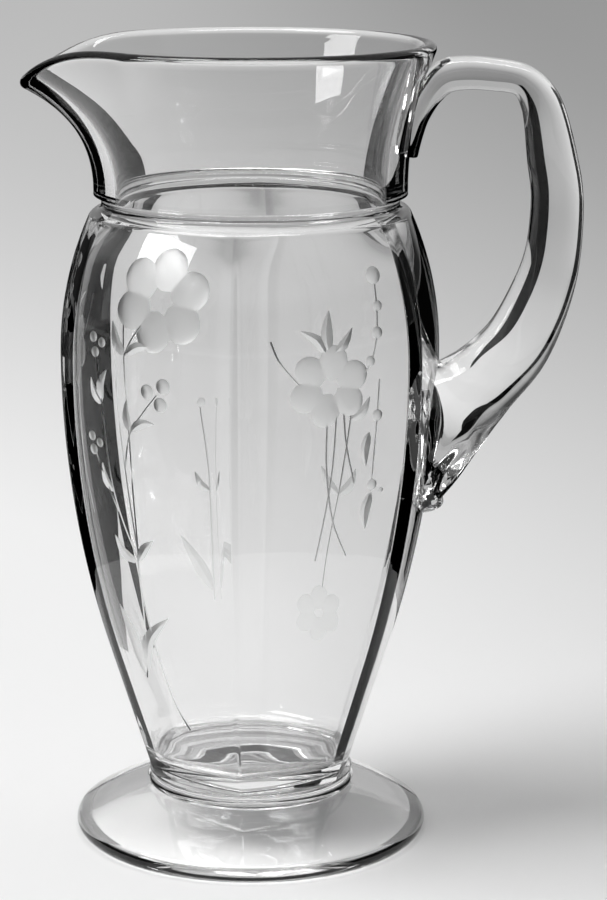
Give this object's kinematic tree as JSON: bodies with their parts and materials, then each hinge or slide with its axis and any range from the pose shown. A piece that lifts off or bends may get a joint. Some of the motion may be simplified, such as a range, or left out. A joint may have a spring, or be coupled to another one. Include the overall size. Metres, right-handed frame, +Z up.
{
  "type": "cocktail pitcher",
  "caption": "Footed clear glass cocktail pitcher with a panelled barrel bowl cut with flower sprays, a flared collar with a pulled pouring lip and an applied loop handle.",
  "frame": {"origin": "centre of the plane that the foot stands on, on the axis of the bowl", "axes": "+Z up along the axis of the bowl, +X towards the handle, -X towards the pouring lip"},
  "size_m": [0.1643, 0.1162, 0.2388],
  "materials": {
    "clear_glass": "gloss"
  },
  "bodies": {
    "root": {"foot": "clear_glass", "wafer": "clear_glass", "bowl": "clear_glass", "collar": "clear_glass", "handle": "clear_glass"}
  },
  "joints": []
}
